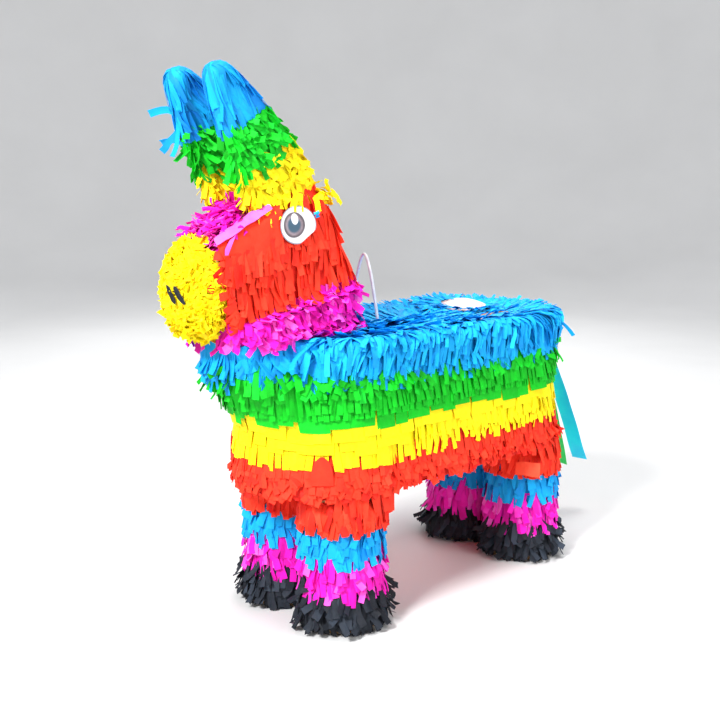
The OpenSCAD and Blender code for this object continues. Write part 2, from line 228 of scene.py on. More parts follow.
def skin(names, rounds=6, keep=None):
    """A search tree of the smooth form over some CAD nodes."""
    points, faces = remeshed(names, 2.5 * MM, rounds, keep)
    return BVHTree.FromPolygons([Vector(p) for p in points], faces)


def box_middle(node):
    lo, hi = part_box(node)
    return (lo + hi) / 2


def heights(node):
    lo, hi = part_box(node)
    return lo.z, hi.z


def by_leg(leg):
    """Picks the solids of one leg out of a node that holds all four."""
    mid = box_middle(leg + "_leg_tube")
    return lambda co: co.x * mid.x > 0 and co.y * mid.y > 0


BARREL = ["belly_panel", "left_wall", "right_wall", "back_panel", "fill_flap",
          "body_red_fringe", "body_yellow_fringe", "body_green_fringe", "back_blue_fringe"]
NECK = ["neck_wrap", "neck_blue_fringe", "collar_pink_fringe"]
HEAD = ["left_head_panel", "right_head_panel", "bridge_strip", "crown_strip", "nape_strip", "jaw_strip",
        "nose_panel", "head_red_fringe", "bridge_pink_fringe", "muzzle_cap", "muzzle_yellow_fringe",
        "crown_yellow_fringe"]
EARS = ["left_ear_card", "right_ear_card", "crown_yellow_fringe", "ear_green_fringes", "ear_blue_fringes"]
LEG_PARTS = ["leg_tube", "foot_disc", "blue_fringe", "pink_fringe"]

trunk_skin = skin(BARREL + NECK)
head_skin = skin(HEAD + NECK)
ear_skin = skin(EARS, rounds=4)
leg_skins = {leg: skin([f"{leg}_{part}" for part in LEG_PARTS] + ["leg_red_fringes", "hoof_black_fringes"],
                       keep=by_leg(leg)) for leg in LEGS}


def nearest(trees, place):
    """The closest skin point, its outward normal and the signed distance to it."""
    best = None
    for tree in trees:
        near, out, _, _ = tree.find_nearest(place)
        away = place - near
        gap = math.copysign(away.length, away.dot(out))
        if best is None or gap < best[2]:
            best = (near, out, gap)
    return best


# ---------------------------------------------------------------- sheets of paper

def sheet_faces(rows, cols):
    """Faces of a closed sheet: a grid of points on top and the same grid underneath."""
    under = rows * cols
    faces = []
    for r in range(rows - 1):
        for c in range(cols - 1):
            a = r * cols + c
            quad = (a, a + 1, a + cols + 1, a + cols)
            faces.append(quad)
            faces.append(tuple(under + v for v in reversed(quad)))
    rim = list(range(cols)) + [r * cols + cols - 1 for r in range(1, rows)]
    rim += [(rows - 1) * cols + c for c in range(cols - 2, -1, -1)]
    rim += [r * cols for r in range(rows - 2, 0, -1)]
    for a, b in zip(rim, rim[1:] + rim[:1]):
        faces.append((b, a, under + a, under + b))
    return np.array(faces)


class Fringe:
    """Sheets of one colour, gathered into one piece."""

    cached_faces = {}

    def __init__(self, name, colour, replaced=(), body="donkey"):
        self.name, self.colour, self.replaced, self.body = name, colour, replaced, body
        self.points, self.faces, self.tones = [], [], []
        self.count = 0

    def add(self, points, faces, tone):
        self.points.append(points)
        self.faces.append(faces + self.count)
        self.tones.append(np.full(len(points), tone))
        self.count += len(points)

    def sheet(self, grid, tone):
        """Adds a closed sheet of paper through a grid of points."""
        grid = np.array(grid, float)
        grid[..., 2] = np.maximum(grid[..., 2], FLOOR_CLEAR)
        along = np.gradient(grid, axis=0)
        across = np.gradient(grid, axis=1)
        normal = np.cross(across, along)
        normal /= np.maximum(np.linalg.norm(normal, axis=2, keepdims=True), 1e-12)
        both = np.concatenate([grid + normal * PAPER / 2, grid - normal * PAPER / 2])
        key = grid.shape[:2]
        if key not in self.cached_faces:
            self.cached_faces[key] = sheet_faces(*key)
        self.add(both.reshape(-1, 3), self.cached_faces[key], tone)

    def backing(self, node, trees, depth, crumple=0.5 * MM):
        """Adds the uncut tissue: the CAD node's layer, pressed in and crumpled a little. Its deep tone is
        painted shade for the gaps between the strips.
        """
        points, faces = remeshed([node], 2.5 * MM, 2)
        for i, point in enumerate(points):
            place = Vector(point)
            near, out, gap = nearest(trees, place)
            if -gap < 0.75 * depth + 1.2 * MM:
                points[i] = near - out * (depth + crumple * noise.noise(place * 90))
        # tone 0.12 puts the uncut tissue in the deep shade: painted shade in the gaps between strips
        self.add(points, np.array(faces), 0.12)

    def build(self):
        mesh = bpy.data.meshes.new(self.name)
        mesh.from_pydata(np.concatenate(self.points), [], np.concatenate(self.faces).tolist())
        mesh.attributes.new("tone", "FLOAT", "POINT").data.foreach_set("value", np.concatenate(self.tones))
        mesh.shade_smooth()
        mesh.set_sharp_from_angle(angle=math.radians(48))
        mesh.materials.append(tissue[self.colour])
        piece = new_object(self.name, mesh)
        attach(piece, self.body)
        if self.replaced:
            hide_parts(*self.replaced)
        return piece


def covering(name, colour, node, trees, press, crumple=0.5 * MM):
    """A fringe that takes a CAD node's place and starts with the uncut tissue under its strips."""
    fringe = Fringe(name, colour, [node])
    fringe.backing(node, trees, press, crumple)
    return fringe


class Style:
    """How a kind of strip looks; lengths in millimetres. Each strip draws its own values."""

    def __init__(self, length, width, low=-3.6, high=1.6, droop=0.5, wander=0.1, lean=0.1, sway=0.1,
                 curl=0.0, kink=0.0, fold=0.5, twist=0.3, tone=(0.1, 0.75), wild=0.0, cling=0.45, steps=6,
                 pull=DOWN):
        self.length, self.width = length, width       # (least, most)
        self.low, self.high = low, high               # clearance from the skin at the root and the tip
        self.droop, self.pull = droop, pull           # how fast a strip turns, and towards where
        self.wander = wander                          # random turns at each step
        self.lean, self.sway = lean, sway             # sideways lean: of each strip, and of its row
        self.curl, self.kink = curl, kink             # outward bend at the tip, and one sharp bend
        self.fold, self.twist = fold, twist           # crease along the middle, and turn about its own line
        self.tone = tone
        self.wild = wild                              # share of strips that stick out
        self.cling = cling                            # how fast a strip falls back onto the skin
        self.steps = steps

    def but(self, **changes):
        """The same style with some values changed."""
        values = dict(vars(self))
        values.update(changes)
        return Style(**values)


def random_unit():
    while True:
        v = Vector((rng.uniform(-1, 1), rng.uniform(-1, 1), rng.uniform(-1, 1)))
        if 0.1 < v.length < 1:
            return v.normalized()


class Draw:
    """The random values of one strip or of one uncut panel."""

    def __init__(self, style, lean=0.0):
        self.style = style
        self.length = rng.uniform(*style.length) * MM
        self.high = style.high * rng.uniform(0.4, 1.6) * MM
        self.curl = style.curl * rng.uniform(0.2, 1.6)
        self.kink_at = rng.uniform(0.25, 0.9)
        self.kink = (rng.gauss(0, 0.6) * style.kink, rng.gauss(0.2, 0.6) * style.kink)
        self.turns = [(rng.gauss(0, 0.7) * style.wander, rng.gauss(0, 0.7) * style.wander)
                      for _ in range(style.steps + 1)]
        self.lean = lean + rng.gauss(0, style.lean)
        self.cling = style.cling
        if rng.random() < style.wild:
            self.curl += rng.uniform(0.3, 0.8)
            self.lean += rng.uniform(-0.7, 0.7)
            self.cling = 0.0

    def march(self, trees, start, out, ahead, cap=None):
        """The line of a strip that starts at start and heads ahead over the skin."""
        style = self.style
        low = style.low * MM
        heading = (ahead - out * ahead.dot(out)).normalized()
        side = heading.cross(out).normalized()
        heading = (heading + side * self.lean).normalized()
        step = self.length / style.steps
        place = start.copy()
        line = []
        for i in range(style.steps + 1):
            share = i / style.steps
            clear = low + (self.high - low) * share
            near, normal, gap = nearest(trees, place)
            limit = cap(place) if cap else None
            if limit is not None:
                place = near + normal * min(clear, limit)
            elif gap < clear:
                place = near + normal * clear
            elif normal.z > -0.4:
                place = place.lerp(near + normal * clear, self.cling)
            place.z = max(place.z, FLOOR_CLEAR + (style.steps - i) * 0.2 * MM)
            place.x = min(max(place.x, -REACH), REACH)
            if line:
                heading = (place - line[-1]).normalized()
            line.append(place.copy())
            side = heading.cross(normal)
            sideways, outwards = self.turns[i]
            heading = heading + style.pull * style.droop * step / (30 * MM)
            heading += side * sideways + normal * (outwards + self.curl * share * 0.5)
            if share < self.kink_at <= share + 1 / style.steps:
                heading += side * self.kink[0] + normal * self.kink[1]
            heading.normalize()
            place = place + heading * step
        return line


def lay_strip(fringe, trees, start, out, ahead, style, lean=0.0, cap=None):
    """Lays one strip from start along ahead and adds it to the fringe."""
    draw = Draw(style, lean)
    line = draw.march(trees, start, out, ahead, cap)
    width = rng.uniform(*style.width) * MM
    turn = rng.gauss(0, style.twist)
    crease = rng.gauss(0, style.fold) * MM
    side = (line[1] - line[0]).cross(out).normalized()
    grid = []
    for i, place in enumerate(line):
        along = (line[min(i + 1, style.steps)] - line[max(i - 1, 0)]).normalized()
        side = (side - along * side.dot(along)).normalized()
        side_now = (Matrix.Rotation(turn * i / style.steps, 3, along) @ side).normalized()
        raised = side_now.cross(along) * crease
        half = side_now * width / 2
        grid.append([place - half, place - raised, place + half])
    fringe.sheet(grid, rng.uniform(*style.tone))


def lay_panels(fringe, trees, seeds, style, most):
    """Lays a row as wide uncut panels, each up to so many seeds wide, with slits between them."""
    i = 0
    while i < len(seeds) - 1:
        group = [seeds[i]]
        for seed in seeds[i + 1:i + rng.randint(3, most)]:
            if (seed[0] - group[-1][0]).length > 11 * MM:
                break
            group.append(seed)
        i += max(1, len(group) - 1)
        if len(group) < 2:
            continue
        draw = Draw(style)
        lines = [draw.march(trees, place + out * style.low * MM, out, DOWN) for place, out in group]
        grid = np.array([[line[row] for line in lines] for row in range(style.steps + 1)], float)
        fringe.sheet(grid[:, ::-1], rng.uniform(*style.tone))


def bent_sheet(fringe, outline, tone, size=(8, 6), crumple=0.5 * MM):
    """Adds a sheet through rows of guide points, bent smoothly from row to row and crumpled a little."""
    guide = np.array(outline, float)
    rows_at = np.linspace(0, len(guide) - 1, size[1])
    cols_at = np.linspace(0, guide.shape[1] - 1, size[0])
    grid = []
    for r in rows_at:
        low = min(int(r), len(guide) - 2)
        line = guide[low] + (guide[low + 1] - guide[low]) * (r - low)
        at = range(len(line))
        grid.append([Vector([np.interp(c, at, line[:, axis]) for axis in range(3)]) for c in cols_at])
    for line in grid:
        for i, place in enumerate(line):
            bend = [noise.noise(place * 110 + Vector((k * 9.1, 0, 0))) for k in range(3)]
            line[i] = place + Vector(bend) * crumple
    fringe.sheet(grid, tone)


def around(tree, level, radius, front, rear, pitch, rays=260, keep=None):
    """Places and normals on a skin, evenly spaced along a ring in the plane of the matrix level.

    The rays come in from a stadium of that radius, whose straight part runs from y = front to y = rear.
    """
    hits = []
    for foot, way in stadium(radius, front, rear, rays):
        inward = (level.to_3x3() @ -way).normalized()
        hit, out, _, _ = tree.ray_cast(level @ (foot + way * radius), inward, radius)
        if hit is not None:
            hits.append((hit, out))
    found = []
    travelled = rng.uniform(0, pitch)
    for (a, na), (b, nb) in zip(hits, hits[1:] + hits[:1]):
        span = (b - a).length
        if span > 25 * MM:
            continue
        while travelled < span:
            share = travelled / span
            place, out = a.lerp(b, share), na.lerp(nb, share).normalized()
            if keep is None or keep(place, out):
                found.append((place, out))
            travelled += pitch * rng.uniform(0.85, 1.15)
        travelled -= span
    return found


def stadium(radius, front, rear, count):
    """Points on a stadium's spine and the outward ways from them, evenly spaced along its edge."""
    straight = rear - front
    half_turn = math.pi * radius
    for i in range(count):
        s = 2 * (half_turn + straight) * i / count
        if s < half_turn:
            angle = math.pi + s / radius
            yield Vector((0, front, 0)), Vector((math.cos(angle), math.sin(angle), 0))
        elif s < half_turn + straight:
            yield Vector((0, front + s - half_turn, 0)), Vector((1, 0, 0))
        elif s < 2 * half_turn + straight:
            angle = (s - half_turn - straight) / radius
            yield Vector((0, rear, 0)), Vector((math.cos(angle), math.sin(angle), 0))
        else:
            yield Vector((0, rear + 2 * half_turn + straight - s, 0)), Vector((-1, 0, 0))


def lay_row(fringe, trees, seeds, style, ahead=DOWN, cap=None):
    """Lays a strip at each seed. Neighbours lean together."""
    phase = Vector((rng.uniform(0, 100),) * 3)
    for place, out in seeds:
        lean = style.sway * noise.noise(place * 45 + phase) * 2
        lay_strip(fringe, trees, place + out * style.low * MM, out, ahead, style, lean, cap)


def rows(low, high, spacing):
    """Heights of the tips of a band's rows, from the lowest up."""
    count = max(1, round((high - low) / (spacing * MM)))
    return [low + (high - low) * i / count for i in range(count)]


# ---------------------------------------------------------------- barrel

plan_lo, plan_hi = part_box("back_panel")
BODY_R = plan_hi.x
CHEST_Y = plan_lo.y + BODY_R
RUMP_Y = plan_hi.y - BODY_R
BACK_Z = plan_hi.z
NECK_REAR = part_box("collar_pink_fringe")[1].y
BODY_PRESS = 4 * MM                  # how deep the uncut tissue lies under the body's surface
HEAD_PRESS = 3.3 * MM                # and under the head's and ears'

plain = Style(length=(28, 33), width=(5.4, 7.4), high=1.0, wander=0.1, lean=0.1, sway=0.2, cling=0.55)
crimped = plain.but(wander=0.2, lean=0.22, kink=0.6, curl=0.3, high=2.0, cling=0.35)
neat = plain.but(length=(29, 31), wander=0.05, lean=0.04, sway=0.1, fold=0.3, twist=0.15)
ragged = plain.but(length=(24, 36), width=(3.6, 5.6), lean=0.16, sway=0.5, wander=0.12, kink=0.25, high=1.8)
fine = plain.but(length=(32, 42), width=(3.8, 5.4), wander=0.14, lean=0.2, sway=0.5, curl=0.1, kink=0.2,
                 wild=0.03, high=1.8, tone=(0.2, 1.0))


def barrel_ring(z, pitch, keep=None):
    level = Matrix.Translation((0, 0, min(z, BACK_Z + 3 * MM)))
    return around(trunk_skin, level, BODY_R + 70 * MM, CHEST_Y, RUMP_Y, pitch * MM, 420, keep)


def on_neck(place, out):
    return place.y < NECK_REAR - 30 * MM


def off_neck(place, out):
    return not on_neck(place, out)


def near_front(place, out):
    return place.y < CHEST_Y + 40 * MM


def not_front(place, out):
    return not near_front(place, out)


def over_leg(place, out):
    return any(abs(place.y - y) < 31 * MM for y in LEG_YS)


def lay_band(name, colour, node, band, crumple=0.5 * MM):
    """A colour's rows on the barrel, from the lowest up.

    Each row says how many mm over the band's lower edge it starts, its pitch, which places it keeps and
    its style. A fifth value makes it a row of uncut panels up to so many seeds wide.
    """
    fringe = covering(name, colour, node, [trunk_skin], BODY_PRESS, crumple)
    low = heights(node)[0]
    for over, pitch, keep, style, *most in band:
        seeds = barrel_ring(low + over * MM, pitch, keep)
        if most:
            lay_panels(fringe, [trunk_skin], seeds, style, *most)
        else:
            lay_row(fringe, [trunk_skin], seeds, style)
    return fringe


LEG_YS = [box_middle(leg + "_leg_tube").y for leg in LEGS]
loose_red = crimped.but(kink=0.9, tone=(0.0, 0.6), length=(21, 27), high=1.2)
short = [style.but(length=(21, 27)) for style in (crimped, plain)]
front_row = neat.but(length=(27, 33), width=(6.2, 7.6))
sheeted = neat.but(length=(26, 33), lean=0.08)
curled = crimped.but(kink=1.0, curl=0.7, high=3.0, width=(4.6, 7.0), tone=(0.0, 0.9), wild=0.04)
fanned = plain.but(length=(34, 40), width=(5.2, 6.8), lean=0.06, sway=0.5, wander=0.05, high=0.8, twist=0.2,
                   cling=0.8)
flat_crimped = crimped.but(cling=0.8, high=0.8)

red_body = lay_band("red_body_strips", "red", "body_red_fringe", [
    (17, 5.2, over_leg, plain),
    (24, 5.2, None, loose_red), (29, 5.2, None, loose_red),
    (34, 5.2, None, short[0]), (40, 5.2, None, short[1]), (46, 5.2, None, short[1])], 1.2 * MM)
yellow_body = lay_band("yellow_body_strips", "yellow", "body_yellow_fringe", [
    (28, 6.6, near_front, front_row), (30, 4.3, not_front, ragged), (36, 5.0, not_front, ragged),
    (42, 5.4, near_front, sheeted, 7), (44, 5.4, not_front, plain), (54, 5.4, None, sheeted, 7)])
green_body = lay_band("green_body_strips", "green", "body_green_fringe", [
    (29, 5.4, None, sheeted, 6), (38, 4.4, None, neat.but(width=(3.8, 5.2), lean=0.07, high=1.8)),
    (44, 4.8, None, neat.but(width=(4.4, 5.8), lean=0.1, high=2.4)), (53, 4.6, None, curled),
    (60, 4.6, near_front, curled)])

# The blue side rows: ahead of the neck's rear they belong to the neck
neck_blue = lay_band("blue_neck_strips", "blue", "neck_blue_fringe", [
    (34, 5.2, on_neck, fanned), (43, 5.2, on_neck, fanned),
    (52, 5.2, on_neck, flat_crimped), (60, 5.2, on_neck, flat_crimped)])
back_blue = covering("blue_back_strips", "blue", "back_blue_fringe", [trunk_skin], BODY_PRESS)
low = heights("neck_blue_fringe")[0]


def fanned_out(place):
    """The back's strips fan out towards the neck and the rump."""
    return Vector((0, 5.0 * (place.y - 10 * MM), 0))


for z, style in ((32, fine), (38, fine), (44, fine.but(high=3.0))):
    for place, out in barrel_ring(low + z * MM, 3.9, off_neck):
        lift = UP * max(0.0, place.y - 60 * MM) * 0.07
        lay_strip(back_blue, [trunk_skin], place + lift + out * style.low * MM, out,
                  DOWN + fanned_out(place), style, 0.8 * noise.noise(place * 45))

# The back: strips that lie outwards and fall over its edge, in rings from the edge in
flap_mid = box_middle("fill_flap")
FLAP_CLEAR = Vector((42, 42)) * MM   # half sides of the part of the back that the flap needs
top_style = fine.but(length=(27, 38), lean=0.3, high=3.0, droop=0.5, cling=0.3, wild=0.02)
edge_style = fine.but(length=(34, 46), lean=0.35, high=2.6, droop=1.2, cling=0.3, wild=0.02)


LOOP_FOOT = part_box("hanging_loop")[1].x - 2 * MM
loop_foot_y = box_middle("hanging_loop").y


def on_back(flat):
    """The point of the back's skin over or under flat, or None where the neck stands on it."""
    hit, out, _, _ = trunk_skin.ray_cast(Vector((flat.x, flat.y, BACK_Z + 60 * MM)), DOWN, 100 * MM)
    return hit if hit is not None and out.z > 0.7 and hit.z < BACK_Z + 12 * MM else None


def near_flap(place):
    return abs(place.x - flap_mid.x) < FLAP_CLEAR.x and abs(place.y - flap_mid.y) < FLAP_CLEAR.y


back_top = Fringe("blue_back_top_strips", "blue")
for inset in (1, 7, 13, 20, 28, 37, 46, 54, 61, 68, 73, 77, 79):
    radius = BODY_R + 2 * MM - inset * MM
    length = 2 * math.pi * radius + 2 * (RUMP_Y - CHEST_Y)
    for foot, way in stadium(radius, CHEST_Y, RUMP_Y, int(length / (4.2 * MM))):
        flat = foot + way * radius + Vector((rng.gauss(0, 2), rng.gauss(0, 2), 0)) * MM
        top = on_back(flat)
        if top is None or near_flap(flat) or near_flap(flat + way * 20 * MM):
            continue
        if abs(abs(flat.x) - LOOP_FOOT) < 6 * MM and abs(flat.y - loop_foot_y) < 14 * MM:
            continue
        stray = Matrix.Rotation(1.1 * noise.noise(flat * 25), 3, "Z")
        way = stray @ (way + 0.8 * fanned_out(flat)).normalized()
        style = edge_style if inset < 22 else top_style
        if flat.y > RUMP_Y and abs(flat.x) < 24 * MM:
            style = style.but(length=(14, 20), high=1.5)
        lay_strip(back_top, [trunk_skin], top + UP * style.low * MM, UP, way, style)

# Blue strips that ride on the flap, round its label. None reaches past the hinge.
flap_blue = Fringe("blue_flap_strips", "blue", body="fill_flap")
flap_mesh = joined(["fill_flap"])
flap_skin = BVHTree.FromBMesh(flap_mesh)
flap_mesh.free()
flap_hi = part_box("fill_flap")[1]
LABEL_R = 26 * MM                    # the sticker is smaller than the CAD's label and sits further back
label_mid = box_middle("flap_label") + Vector((-3, 9, 0)) * MM
flap_style = fine.but(length=(14, 22), low=0.4, high=2.6, lean=0.3, sway=0.3, cling=0.4, droop=0.2,
                      wild=0.0, steps=4)
for ring, count in ((LABEL_R - 4 * MM, 20), (LABEL_R, 70), (LABEL_R + 6 * MM, 80),
                    (LABEL_R + 12 * MM, 70), (LABEL_R + 18 * MM, 50)):
    for i in range(count):
        way = Vector((*circle(i + rng.random(), count), 0))
        flat = label_mid + way * ring
        hit, out, _, _ = flap_skin.ray_cast(Vector((flat.x, flat.y, flap_hi.z + 30 * MM)), DOWN, 60 * MM)
        room = flap_hi.x - 3 * MM - flat.x
        if hit is None or room < 3 * MM:
            continue
        reach = min(22.0, room / max(way.x, 0.05) / MM - 1)
        if reach < 9:
            way = Vector((0.15, math.copysign(1, way.y), 0))
            reach = 12.0
        style = flap_style.but(length=(0.75 * reach, reach))
        rise = 3.2 if ring < LABEL_R + 1 * MM else 1.0
        style = style.but(low=rise, high=rise + 1.6)
        lay_strip(flap_blue, [flap_skin], hit + UP * rise * MM, out, way, style)

# ---------------------------------------------------------------- legs

hoof = Style(length=(22, 31), width=(5.0, 8.0), high=5.0, wander=0.25, lean=0.25, sway=0.3, curl=0.5,
             kink=0.9, wild=0.15, cling=0.1, tone=(0.1, 0.95))
leg_pink = plain.but(length=(23, 29), wander=0.18, lean=0.16, sway=0.3, kink=0.5, curl=0.2, wild=0.05,
                     cling=0.25, tone=(0.1, 1.0))
leg_blue = plain.but(length=(24, 30), wander=0.16, lean=0.14, kink=0.3, cling=0.3)
leg_red = plain.but(length=(24, 30), width=(5.0, 6.8), wander=0.14, sway=0.15, kink=0.35, high=2.0,
                    twist=0.4, cling=0.4, tone=(0.0, 0.85))

black_hooves = Fringe("black_hoof_strips", "black", ["hoof_black_fringes"])
red_legs = Fringe("red_leg_strips", "red", ["leg_red_fringes"])
LEG_TOP = heights("leg_red_fringes")[1]
hoof_under = leg_pink.but(length=(20, 26), high=1.5, curl=0.0, wild=0.0, cling=0.5, tone=(0.0, 0.4))
BETWEEN_LEGS = 0.35                  # strips facing the other leg lie flatter by this factor


def leg_rows(fringe, leg, low, high, style, pitch, spacing):
    mid = box_middle(leg + "_leg_tube")
    flat = style.but(high=BETWEEN_LEGS * style.high, curl=0.0, wild=0.0, kink=0.2, cling=0.6)
    phase = Vector((rng.uniform(0, 100),) * 3)
    for tip in rows(low, high, spacing):
        z = min(tip + sum(style.length) / 2 * MM, LEG_TOP - 1 * MM)
        level = Matrix.Translation((mid.x, mid.y, z))
        for place, out in around(leg_skins[leg], level, 60 * MM, 0, 0, pitch * MM, 90):
            inner = out.x * mid.x < 0 and abs(out.x) > 0.5
            lean = style.sway * noise.noise(place * 60 + phase) * 2
            lay_strip(fringe, [leg_skins[leg]], place + out * style.low * MM, out, DOWN,
                      flat if inner else style, lean)


for leg in LEGS:
    pink, blue = [covering(f"{leg}_{colour}_strips", colour, f"{leg}_{colour}_fringe", [leg_skins[leg]],
                           BODY_PRESS) for colour in ("pink", "blue")]
    leg_rows(black_hooves, leg, 0.8 * MM, 12 * MM, hoof_under, 4.0, 6)
    leg_rows(black_hooves, leg, 2 * MM, heights("hoof_black_fringes")[1], hoof, 4.8, 9)
    leg_rows(pink, leg, *heights(f"{leg}_pink_fringe"), leg_pink, 5.0, 11)
    leg_rows(blue, leg, *heights(f"{leg}_blue_fringe"), leg_blue, 5.4, 11)
    leg_rows(red_legs, leg, *heights("leg_red_fringes"), leg_red, 5.6, 10)
    pink.build()
    blue.build()
black_hooves.backing("hoof_black_fringes", list(leg_skins.values()), BODY_PRESS)
red_legs.backing("leg_red_fringes", list(leg_skins.values()), BODY_PRESS)


def on_barrel(turn, z, clear):
    """A point over the front of the barrel, turned from +x towards the chest."""
    way = Vector((math.cos(turn), -math.sin(turn), 0))
    hit, out, _, _ = trunk_skin.ray_cast(Vector((0, CHEST_Y, z)) + way * 150 * MM, -way, 0.2)
    return hit + out * clear


# Above each front leg a rounded tab of its red paper lies on the yellow
for side in (1, -1):
    tab = []
    for i in range(8):
        share = i / 7
        half = math.radians(6.5) * math.sqrt(1 - (1 - share) ** 2.4 + 0.02)
        line = [on_barrel(math.radians(41) + half * (j / 3 - 1), (169 - 26 * share) * MM, 3.0 * MM)
                for j in range(7)]
        for place in line:
            place.x *= side
        tab.append(line[::-side])
    red_body.sheet(tab, 0.25)

# A loose flat piece of red paper over each rear leg
corners = [[(67, 85, 113), (77, 91, 114), (85, 102, 112)],
           [(70, 80, 101), (80, 88, 100), (88, 99, 97)]]
for side in (1, -1):
    sheet = [line[::-side] for line in in_metres(corners, side)]
    bent_sheet(red_body, sheet, 0.9, size=(9, 4), crumple=0.8 * MM)

# ---------------------------------------------------------------- neck and head

COLLAR_TILT = math.radians(15)
JAW_TILT = math.radians(10)          # the head's rows run parallel to the jaw
collar_mid = box_middle("collar_pink_fringe")
eye_mid = box_middle("left_eye_label")
head_lo, head_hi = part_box("left_head_panel")
bridge_lo, bridge_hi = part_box("bridge_pink_fringe")
nose_lo, nose_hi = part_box("nose_panel")
HEAD_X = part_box("head_red_fringe")[1].x


def head_level(z, y):
    """The plane of a row that crosses height z at y."""
    return Matrix.Translation((0, y, z)) @ Matrix.Rotation(JAW_TILT, 4, "X")


collar = covering("pink_collar_strips", "pink", "collar_pink_fringe", [head_skin], HEAD_PRESS)
collar_lo, collar_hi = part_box("collar_pink_fringe")
collar_style = plain.but(length=(12, 20), width=(4.4, 7.4), wander=0.3, lean=0.35, sway=0.4, kink=1.1,
                         wild=0.06, low=-3.0, high=3.6, curl=0.3, cling=0.3, tone=(0.0, 1.0), fold=0.9,
                         steps=5)
COLLAR_LOWEST = 273 * MM             # no collar strip starts below this


def on_collar(place, out):
    return place.y > collar_lo.y - 1 * MM and COLLAR_LOWEST < place.z < collar_hi.z + 14 * MM


for z in (264, 270, 276, 282, 288, 294, 300, 305):
    level = Matrix.Translation((0, collar_mid.y, z * MM)) @ Matrix.Rotation(COLLAR_TILT, 4, "X")
    seeds = around(head_skin, level, 110 * MM, -40 * MM, 40 * MM, 4.6 * MM, keep=on_collar)
    lay_row(collar, [head_skin, trunk_skin], seeds, collar_style)

red_head = covering("red_head_strips", "red", "head_red_fringe", [head_skin], HEAD_PRESS)
head_style = plain.but(length=(25, 31), width=(4.8, 6.8), wander=0.12, lean=0.1, sway=0.25, high=1.6,
                       twist=0.4)


def nose_line(z):
    """How far forward the red reaches at height z: the line of the nose panel's front."""
    share = (z - nose_lo.z) / (nose_hi.z - nose_lo.z)
    return nose_hi.y + (nose_lo.y - nose_hi.y) * share


def on_head_red(place, out):
    """Off the bridge and crown, and behind the muzzle."""
    on_top = out.z > 0.5 and place.z > bridge_lo.z
    return place.y > nose_line(place.z) + 2 * MM and not on_top and out.y > -0.8


def under_eye(place):
    """Strips under an eye label are pressed flat."""
    across = (place.y - eye_mid.y) / (21 * MM)
    up = (place.z - eye_mid.z) / (17 * MM)
    return -0.6 * MM if across ** 2 + up ** 2 < 1 else None


head_mid_y = (head_lo.y + head_hi.y) / 2
for z in (321, 330, 339, 348, 357, 366, 375, 385, 396):
    seeds = around(head_skin, head_level(z * MM, head_mid_y), 110 * MM, -35 * MM, 35 * MM, 5.0 * MM,
                   keep=on_head_red)
    lay_row(red_head, [head_skin], seeds, head_style, cap=under_eye)

# Short pointed pieces over the edge of the muzzle
edge_piece = head_style.but(length=(9, 16), width=(5, 8), low=0.0, high=2.6, lean=0.35, kink=0.3)
for side in (1, -1):
    for i in range(16):
        z = nose_lo.z + (nose_hi.z + 6 * MM - nose_lo.z) * i / 15
        place = Vector((side * HEAD_X, nose_line(z) + 5 * MM, z))
        near, out, _ = nearest([head_skin], place)
        lay_strip(red_head, [head_skin], near + out * 1 * MM, out, Vector((0, -1, -0.9)), edge_piece)

# A smooth, wrinkled cheek patch ahead of each eye. It stands up along the bridge's edge.
guide = [[(33, -266, 354), (34, -246, 365), (35, -222, 377), (35, -203, 386)],
         [(37.6, -266, 350), (38.6, -246, 360), (39, -222, 371), (39, -202, 378)],
         [(38.4, -262, 342), (39.6, -242, 350), (39.8, -220, 359), (39.4, -203, 364)],
         [(38.6, -259, 333), (39.4, -240, 338), (39.6, -220, 346), (39.4, -203, 352)]]
for side in (1, -1):
    lower = 0 if side > 0 else 7     # the far one ends below the heap on the bridge
    sheet = [[(x, y, z - max(0, lower * (2 - row) / 2)) for x, y, z in line]
             for row, line in enumerate(guide)]
    sheet = [line[::side] for line in in_metres(sheet, side)]
    bent_sheet(red_head, sheet, 0.6, size=(20, 14), crumple=1.1 * MM)
    for row, drop in enumerate((0, 8)):
        for i in range(13):
            share = (i + 0.5 * row) / 12
            start = Vector((side * 39.8, -258 + 53 * share, 343 + 16 * share - drop)) * MM
            lay_strip(red_head, [head_skin], start, Vector((side, 0, 0)), DOWN,
                      head_style.but(length=(15, 21), low=2.2, high=2.6, lean=0.06))

# The muzzle: crumpled tufts all over a dome
muzzle = covering("yellow_muzzle_tufts", "yellow", "muzzle_yellow_fringe", [head_skin], 3 * MM, 1.5 * MM)
MUZZLE_MID = Vector((0, -261, 316)) * MM
MUZZLE_R = Vector((33, 27.5, 42)) * MM   # half axes of the dome that the tufts stand on


def dome_tree():
    bm = bmesh.new()
    bmesh.ops.create_icosphere(bm, subdivisions=4, radius=1.0)
    for v in bm.verts:
        v.co = MUZZLE_MID + Vector([v.co[k] * MUZZLE_R[k] for k in range(3)])
    tree = BVHTree.FromBMesh(bm)
    bm.free()
    return tree


dome = dome_tree()
tuft = Style(length=(8, 14), width=(6, 10), low=-2.5, high=0.8, droop=0.0, wander=0.35, lean=0.9, curl=0.2,
             kink=1.3, fold=1.2, twist=0.7, cling=0.3, tone=(0.1, 0.9), steps=4)
GOLDEN = math.pi * (3 - math.sqrt(5))
TUFTS = 1900
for i in range(TUFTS):
    up = 1 - 2 * (i + 0.5) / TUFTS
    flat = math.sqrt(1 - up * up)
    way = Vector((flat * math.cos(GOLDEN * i), flat * math.sin(GOLDEN * i), up))
    hit, out, _, _ = dome.ray_cast(MUZZLE_MID + way * 80 * MM, -way, 80 * MM)
    if hit.y > nose_line(hit.z) + 2 * MM:
        continue
    ahead = out.cross(random_unit()).normalized() + DOWN * 0.3
    lay_strip(muzzle, [dome], hit + out * tuft.low * MM, out, ahead, tuft)

